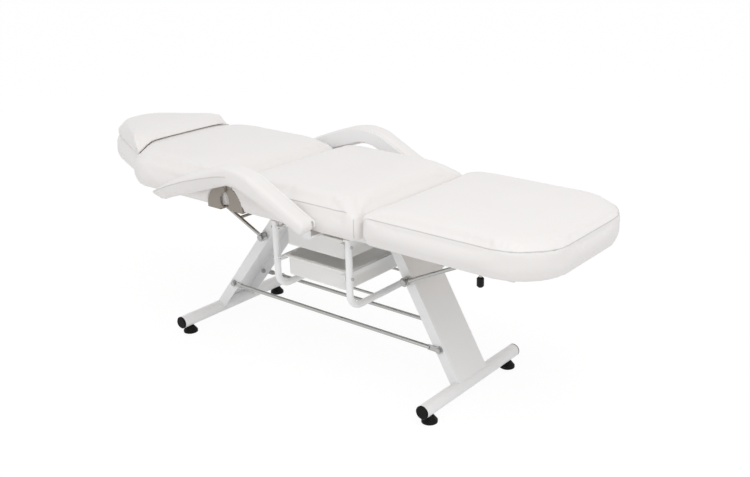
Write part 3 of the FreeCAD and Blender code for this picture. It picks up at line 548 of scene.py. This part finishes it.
def snapped(points: list[Vector], tree: BVHTree, lift: float) -> list[Vector]:
    """Points laid on a surface and eased along the path.

    Args:
        points: Path near the surface.
        tree: The surface.
        lift: Height over the surface.

    Returns:
        The laid points.
    """
    laid = []
    for point in points:
        place, normal, _, _ = tree.find_nearest(point)
        laid.append(place + normal * lift)
    for _ in range(4):
        middle = [(a + b * 2 + c) / 4 for a, b, c in zip(laid, laid[1:], laid[2:])]
        laid = [laid[0]] + middle + [laid[-1]]
    return laid


@dataclass
class Upholstery:
    """The cushions, the pillow, the armrest pads and their seams."""

    library: MaterialLibrary
    piping: PipingGroup
    cord: float = 0.0012
    crown_power: float = 2.0
    crown_lift: float = 0.003
    pillow_rest: float = 0.001
    pillow_lip: float = 0.004
    pillow_slope: float = 0.045
    pillow_drop: float = 0.003
    slit: float = 0.006
    arm_lean_from: float = -0.055
    arm_fade: float = 0.07
    arm_under: float = 0.018
    arm_over: float = 0.009
    arm_tip_shift: float = 0.014
    arm_tip_lift: float = 0.010
    arm_column: float = 0.01
    crease_rear: float = 0.18
    crease_gain: float = 0.30
    seam_step: float = 0.006
    seat_seam_rise: float = 0.004
    seat_seam_ends: tuple[float, float] = (0.040, 0.075)
    seat_corner: tuple[float, float, float] = (0.008, 0.014, 0.004)
    leg_seam_rise: float = 0.078
    leg_seam_start: tuple[float, float] = (0.008, 0.006)
    leg_seam_bend: tuple[float, float] = (0.030, 0.024)
    leg_seam_round: float = 0.140

    def build(self) -> None:
        """Make every soft piece and lay the seams on it."""
        seat = SoftPiece("seat_cushion", "base")
        back = SoftPiece("backrest_cushion", "backrest")
        leg = SoftPiece("legrest_cushion", "legrest", voxel=0.005, cap=0.005, easing=2)
        pillow = SoftPiece("head_pillow", "head_pillow", voxel=0.0035, cap=0.001, easing=1,
                           pinned_below=self._pillow_foot())
        for piece in (seat, back, leg, pillow):
            piece.build(self.library)
            LOG.info("soft piece %s", piece.node)
        for piece in (seat, leg, back):
            fuller(piece.obj, self.crown_power, self.crown_lift)
            calm(piece.obj)
        for piece in (seat, back):
            clear_arch(piece.obj)
        self._settle_pillow(pillow, back)
        for label, side in (("near", -1), ("far", 1)):
            arm = SoftPiece(label + "_armrest_pad", label + "_armrest", voxel=0.0035, cap=0.001, easing=2,
                            pinned_below=0.0)
            arm.build(self.library)
            LOG.info("soft piece %s", arm.node)
            # The cord along each armrest crease is a painted shade line, grey like the seams.
            self._seam(arm, [self._lean_arm(arm, side)])
        self._seam(seat, self._seat_paths())
        self._seam(leg, [self._leg_path()])

    @staticmethod
    def _pillow_foot() -> float:
        """Height below which the pillow lies on the backrest."""
        low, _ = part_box("head_pillow")
        _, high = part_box("backrest_cushion")
        return max(low.z, high.z) + 0.002

    def _settle_pillow(self, pillow: SoftPiece, back: SoftPiece) -> None:
        """Lay the pillow on the finished backrest, with its thin front edge lifted a little.

        Args:
            pillow: The head pillow.
            back: The finished backrest.
        """
        own, ground = pillow.surface(), back.surface()
        crown = max(vertex.co.z for vertex in back.obj.data.vertices)
        low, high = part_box(pillow.node)
        for vertex in pillow.obj.data.vertices:
            inward = Vector(((low.x + high.x) / 2 - vertex.co.x, -vertex.co.y, 0.0)).normalized()
            for reach in (0.004, 0.008, 0.014):
                place = vertex.co + inward * reach
                top, foot, seat = plumb(own, place, 1.0), plumb(own, place, 0.0), plumb(ground, place, 1.0)
                if top and foot and seat:
                    break
            else:
                continue
            front = min(1.0, max(0.0, 1.0 - (high.x - vertex.co.x) / self.pillow_slope))
            share = min(1.0, max(0.0, (vertex.co.z - foot) / max(self.pillow_lip, top - foot)))
            new_foot = seat + self.pillow_rest + self.slit * max(0.0, 3.0 * front - 2.0) ** 2
            new_top = top - self.pillow_drop * (1.0 - front) - (crown - seat) * front
            vertex.co.z = new_foot + share * max(self.pillow_lip, new_top - new_foot)
        ease = pillow.obj.modifiers.new("ease", "SMOOTH")
        ease.iterations = 3
        baked(pillow.obj)
        smooth(pillow.obj)

    def _lean_arm(self, arm: SoftPiece, side: int) -> list[Vector]:
        """Give the rear of an armrest a round upper side, a crease and a lower side that leans inward.

        Args:
            arm: The armrest pad.
            side: Minus one on the near side.

        Returns:
            Path of a grey cord along the crease, a painted shade line that marks it.
        """
        low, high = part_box(arm.node)
        inner = low.y if side > 0 else -high.y
        width = high.y - low.y
        columns: dict[int, list[float]] = {}
        for vertex in arm.obj.data.vertices:
            columns.setdefault(round(vertex.co.x / self.arm_column), []).append(vertex.co.z)
        for vertex in arm.obj.data.vertices:
            heights = columns[round(vertex.co.x / self.arm_column)]
            depth = (max(heights) - vertex.co.z) / max(0.01, max(heights) - min(heights))
            outward = max(0.0, (vertex.co.y * side - inner) / width)
            rear = min(1.0, max(0.0, (self.arm_lean_from - vertex.co.x) / self.arm_fade))
            crease = self._crease(vertex.co.x, low.x)
            under = max(0.0, depth - crease) / (1.0 - crease)
            over = max(0.0, crease - depth) / crease
            tip = max(0.0, 1.0 - (vertex.co.x - low.x) / self.arm_fade)
            vertex.co.y -= side * rear * outward ** 2 * (self.arm_under * under + self.arm_over * over ** 2)
            vertex.co.x += self.arm_tip_shift * depth * tip
            vertex.co.z += self.arm_tip_lift * depth ** 2 * max(0.0, 2.0 * tip - 1.0)
        path = []
        for key in sorted(columns):
            x = key * self.arm_column
            if low.x + 0.012 < x < self.arm_lean_from:
                drop = self._crease(x, low.x) * (max(columns[key]) - min(columns[key]))
                path.append(Vector((x, side * (inner + width), max(columns[key]) - drop)))
        return path

    def _crease(self, x: float, rear: float) -> float:
        """Share of an armrest's depth at which its crease runs.

        Args:
            x: Place along the armrest.
            rear: Its rear end.

        Returns:
            The share.
        """
        along = min(1.0, max(0.0, (x - rear) / (self.arm_lean_from - rear)))
        return self.crease_rear + self.crease_gain * along

    def _seam(self, piece: SoftPiece, paths: list[list[Vector]]) -> None:
        """Lay a cord on a piece; the cord's grey is painted shade.

        Args:
            piece: The soft piece.
            paths: Rough paths of its seams.
        """
        tree = piece.surface()
        laid = [snapped(dense(path, self.seam_step), tree, self.cord * 0.3) for path in paths]
        obj = self.piping.sweep(piece.node + "_seam", laid, self.cord, self.library.seam)
        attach(obj, piece.body)

    def _seat_paths(self) -> list[list[Vector]]:
        """Seams along the top of the two side panels of the seat, and grey cords down their front corners
        that are painted shadow lines of the gap to the leg-rest.

        Returns:
            Two paths for each side.
        """
        _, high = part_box("seat_cushion")
        top = EDGE_Z + self.seat_seam_rise
        ends = (high.x - self.seat_seam_ends[0], HINGE_X + self.seat_seam_ends[1])
        paths = [[Vector((x, side * high.y, top)) for x in ends] for side in (-1, 1)]
        # The corner cords paint the shadow of the gap between seat and leg-rest as a grey line.
        inset, below, above = self.seat_corner
        corner = (EDGE_Z - below, FRAME_TOP + above)
        return paths + [[Vector((high.x - inset, side * high.y, z)) for z in corner] for side in (-1, 1)]

    def _leg_path(self) -> list[Vector]:
        """Seam of the leg-rest: up one seat-end corner, round the foot end, down the other.

        Returns:
            The path.
        """
        low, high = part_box("legrest_cushion")
        top = FRAME_TOP + self.leg_seam_rise
        inset, rise = self.leg_seam_start
        centre, bend = self.leg_seam_bend
        up = [(low.x + inset, FRAME_TOP + rise)]
        up += arc_points(low.x + centre, top - bend, bend, 180, 90, 7)
        near = [Vector((x, low.y, z)) for x, z in up]
        radius = self.leg_seam_round
        plan = arc_points(high.x - radius, low.y + radius, radius, -90, 0, 14)
        plan += arc_points(high.x - radius, high.y - radius, radius, 0, 90, 14)
        middle = [Vector((x, y, top)) for x, y in plan]
        far = [Vector((p.x, -p.y, p.z)) for p in reversed(near)]
        return near + middle + far


@dataclass
class Hardware:
    """Finish of the frame's own nodes."""

    library: MaterialLibrary
    edge_break: float = 0.0007
    tray_edge_break: float = 0.0012
    edge_angle: float = 40.0

    def build(self) -> None:
        """Give each node its slot's material, smooth shading, and the coated, steel, tray and plywood nodes a
        small edge break; the hinge bolts get a darker taupe instead of zinc as painted shade.
        """
        slots = {entry["node"]: Slot(entry["material_slot"]) for entry in frame["record"]["subparts"]}
        broken = (Slot.COAT, Slot.ZINC, Slot.TAUPE, Slot.IVORY, Slot.PLY)
        for name, obj in frame["nodes"].items():
            self.library.dress(obj, slots[name])
            # The hinge bolts take the darker taupe material as painted shade instead of their zinc.
            if name.endswith("_hinge_bolt"):
                obj.data.materials[0] = self.library.hinge_bolt
            smooth(obj, SMOOTH_ANGLE)
            if slots[name] in broken:
                self._break_edges(obj, self.tray_edge_break if slots[name] is Slot.IVORY else self.edge_break)
            LOG.info("rigid piece %s", name)

    def _break_edges(self, obj: bpy.types.Object, width: float) -> None:
        """Round the sharp edges of a node a little.

        Args:
            obj: The node.
            width: Width of the break in metres.
        """
        edge = obj.modifiers.new("edge", "BEVEL")
        edge.width = width
        edge.segments = 2
        edge.limit_method = "ANGLE"
        edge.angle_limit = math.radians(self.edge_angle)
        edge.harden_normals = False


@dataclass(frozen=True)
class SoftLight:
    """One area light."""

    name: str
    place: tuple[float, float, float]
    aim: tuple[float, float, float]
    size: float
    power: float


@dataclass
class Studio:
    """Floor, light and camera."""

    lights: tuple[SoftLight, ...] = (
        SoftLight("key", (1.6, -1.3, 3.8), (0.0, 0.0, 0.45), 2.6, 45.0),
        SoftLight("fill", (3.4, -0.8, 1.5), (0.0, 0.0, 0.4), 2.4, 4.0),
        SoftLight("low", (-0.8, -3.2, 0.55), (0.0, 0.0, 0.3), 1.6, 6.0),
    )
    floor_half: float = 14.0
    floor_grey: float = 0.90
    floor_glow: float = 1.05
    glow_share: float = 0.86
    ambient: float = 0.72
    backdrop: float = 1.0
    lens: float = 47.12
    shift: tuple[float, float] = (-0.0788, -0.0032)
    camera_place: tuple[float, float, float] = (1.8745, -2.0162, 1.3403)
    camera_turn: tuple[float, float, float] = (70.08, 0.0, 36.09)

    def build(self) -> None:
        """Set up the studio."""
        self._floor()
        self._world()
        for light in self.lights:
            self._light(light)
        self._camera()
        view = bpy.context.scene.view_settings
        view.view_transform = "Standard"

    def _floor(self) -> None:
        """Plain pale floor, nearly white to the camera and in mirrors, with a faint shadow."""
        mesh = bpy.data.meshes.new("floor")
        half = self.floor_half
        corners = [(-half, -half, 0), (half, -half, 0), (half, half, 0), (-half, half, 0)]
        mesh.from_pydata(corners, [], [(0, 1, 2, 3)])
        floor = link(bpy.data.objects.new("floor", mesh))
        material = bpy.data.materials.new("stage_floor")
        material.use_nodes = True
        nodes, links = material.node_tree.nodes, material.node_tree.links
        shader = nodes["Principled BSDF"]
        shader.inputs["Base Color"].default_value = (self.floor_grey, self.floor_grey, self.floor_grey, 1.0)
        shader.inputs["Roughness"].default_value = 0.9
        shader.inputs["Specular IOR Level"].default_value = 0.1
        glow = nodes.new("ShaderNodeEmission")
        glow.inputs["Strength"].default_value = self.floor_glow
        share = nodes.new("ShaderNodeMath")
        share.operation = "MULTIPLY"
        share.inputs[1].default_value = self.glow_share
        mix = nodes.new("ShaderNodeMixShader")
        links.new(self._seen(material.node_tree), share.inputs[0])
        links.new(share.outputs["Value"], mix.inputs["Fac"])
        links.new(shader.outputs["BSDF"], mix.inputs[1])
        links.new(glow.outputs["Emission"], mix.inputs[2])
        links.new(mix.outputs["Shader"], nodes["Material Output"].inputs["Surface"])
        mesh.materials.append(material)

    @staticmethod
    def _seen(tree: bpy.types.NodeTree) -> bpy.types.NodeSocket:
        """Add nodes that tell the rays of the camera, of mirrors and through glass from the others.

        Args:
            tree: Nodes of the floor or the surroundings.

        Returns:
            A socket that is one for those rays.
        """
        rays = tree.nodes.new("ShaderNodeLightPath")
        seen = rays.outputs["Is Camera Ray"]
        for name in ("Is Glossy Ray", "Is Transmission Ray"):
            either = tree.nodes.new("ShaderNodeMath")
            either.operation = "MAXIMUM"
            tree.links.new(seen, either.inputs[0])
            tree.links.new(rays.outputs[name], either.inputs[1])
            seen = either.outputs["Value"]
        return seen

    def _world(self) -> None:
        """Soft even light all round, with a white backdrop for the camera and for mirrors."""
        world = bpy.data.worlds.new("studio")
        world.use_nodes = True
        bpy.context.scene.world = world
        nodes, links = world.node_tree.nodes, world.node_tree.links
        nodes.clear()
        out = nodes.new("ShaderNodeOutputWorld")
        mix = nodes.new("ShaderNodeMixShader")
        links.new(self._seen(world.node_tree), mix.inputs["Fac"])
        for place, strength in ((1, self.ambient), (2, self.backdrop)):
            part = nodes.new("ShaderNodeBackground")
            part.inputs["Color"].default_value = (1.0, 1.0, 1.0, 1.0)
            part.inputs["Strength"].default_value = strength
            links.new(part.outputs["Background"], mix.inputs[place])
        links.new(mix.outputs["Shader"], out.inputs["Surface"])

    def _light(self, light: SoftLight) -> None:
        """Place one area light.

        Args:
            light: Its settings.
        """
        data = bpy.data.lights.new(light.name, "AREA")
        data.size = light.size
        data.energy = light.power
        obj = link(bpy.data.objects.new(light.name, data))
        obj.location = light.place
        toward = Vector(light.aim) - Vector(light.place)
        obj.rotation_euler = toward.to_track_quat("-Z", "Y").to_euler()

    def _camera(self) -> None:
        """Camera at the photo's place and angle."""
        data = bpy.data.cameras.new("camera")
        data.sensor_width = 36.0
        data.lens = self.lens
        data.shift_x, data.shift_y = self.shift
        camera = link(bpy.data.objects.new("camera", data))
        camera.location = self.camera_place
        camera.rotation_euler = [math.radians(angle) for angle in self.camera_turn]
        bpy.context.scene.camera = camera


def main() -> None:
    """Build the scene and report each piece."""
    logging.basicConfig(level=logging.INFO)
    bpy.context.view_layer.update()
    library = MaterialLibrary()
    Hardware(library).build()
    Upholstery(library, PipingGroup()).build()
    Studio().build()


if __name__ == "__main__":
    main()
